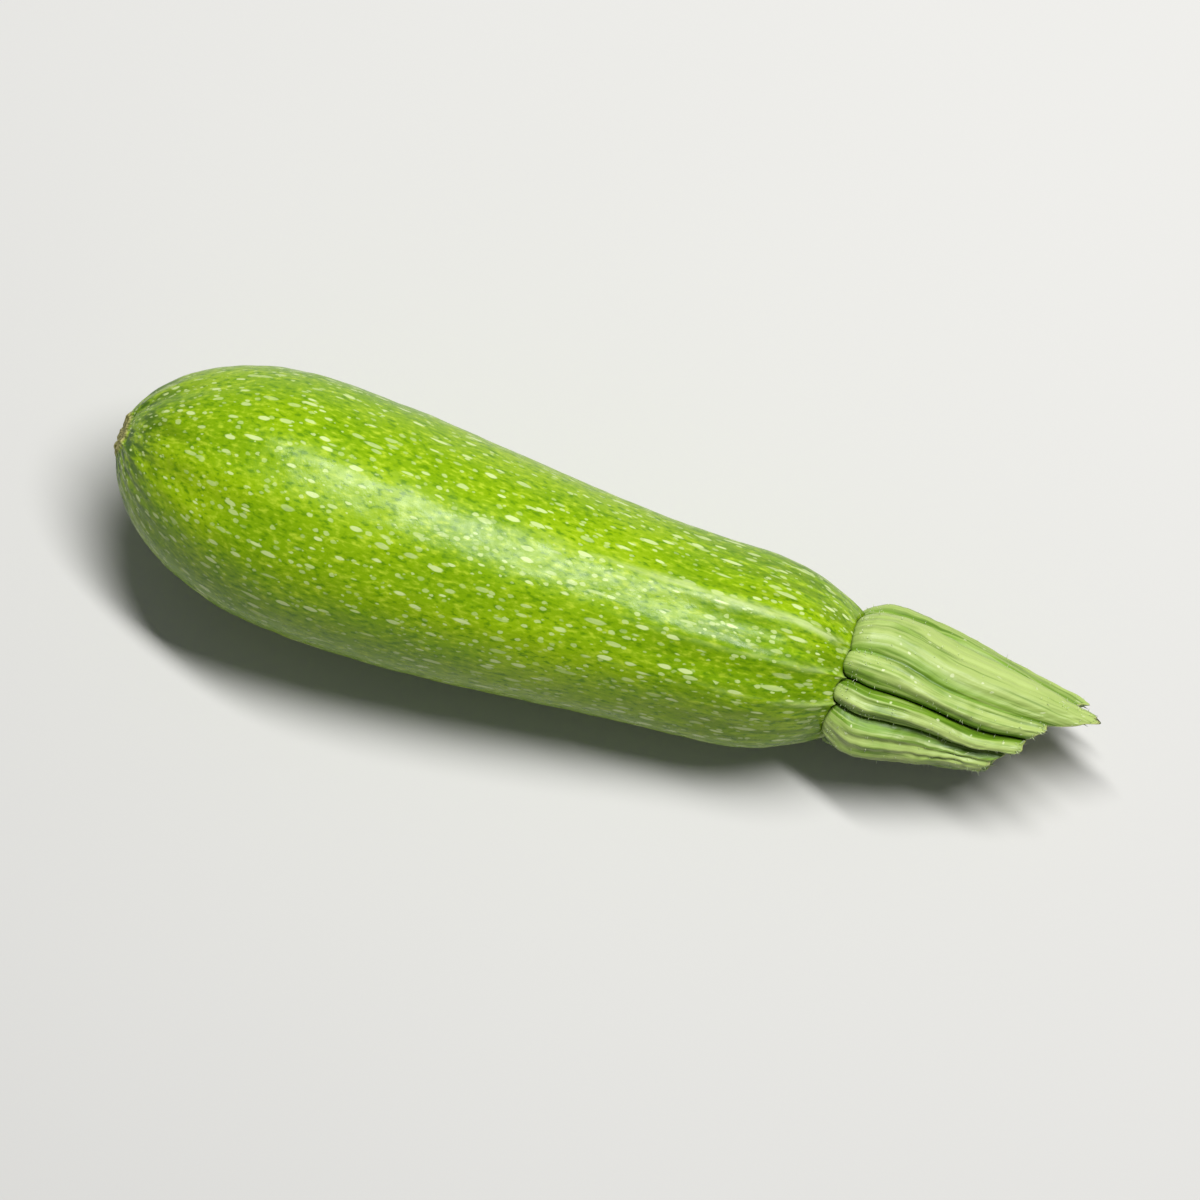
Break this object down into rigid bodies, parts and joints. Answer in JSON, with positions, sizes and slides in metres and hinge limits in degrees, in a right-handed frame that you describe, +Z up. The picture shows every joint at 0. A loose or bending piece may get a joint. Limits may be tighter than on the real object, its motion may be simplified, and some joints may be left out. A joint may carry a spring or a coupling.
{
  "type": "zucchini",
  "caption": "Pale green zucchini lying on its side: a smooth club-shaped fruit with a blossom scar at one end and a short ridged stem, cut off at a slant, at the other.",
  "frame": {"origin": "on the surface that the zucchini lies on, under the middle of its box", "axes": "+X along the zucchini towards the stem, +Y to its back, +Z up"},
  "size_m": [0.1878, 0.0478, 0.049],
  "materials": {
    "skin": "waxy yellow-green skin with pale flecks drawn out along the fruit",
    "stem": "matt pale green with whitish ridges and a moist yellow-green cut"
  },
  "bodies": {
    "root": {"fruit": "skin", "stem": "stem"}
  },
  "joints": []
}
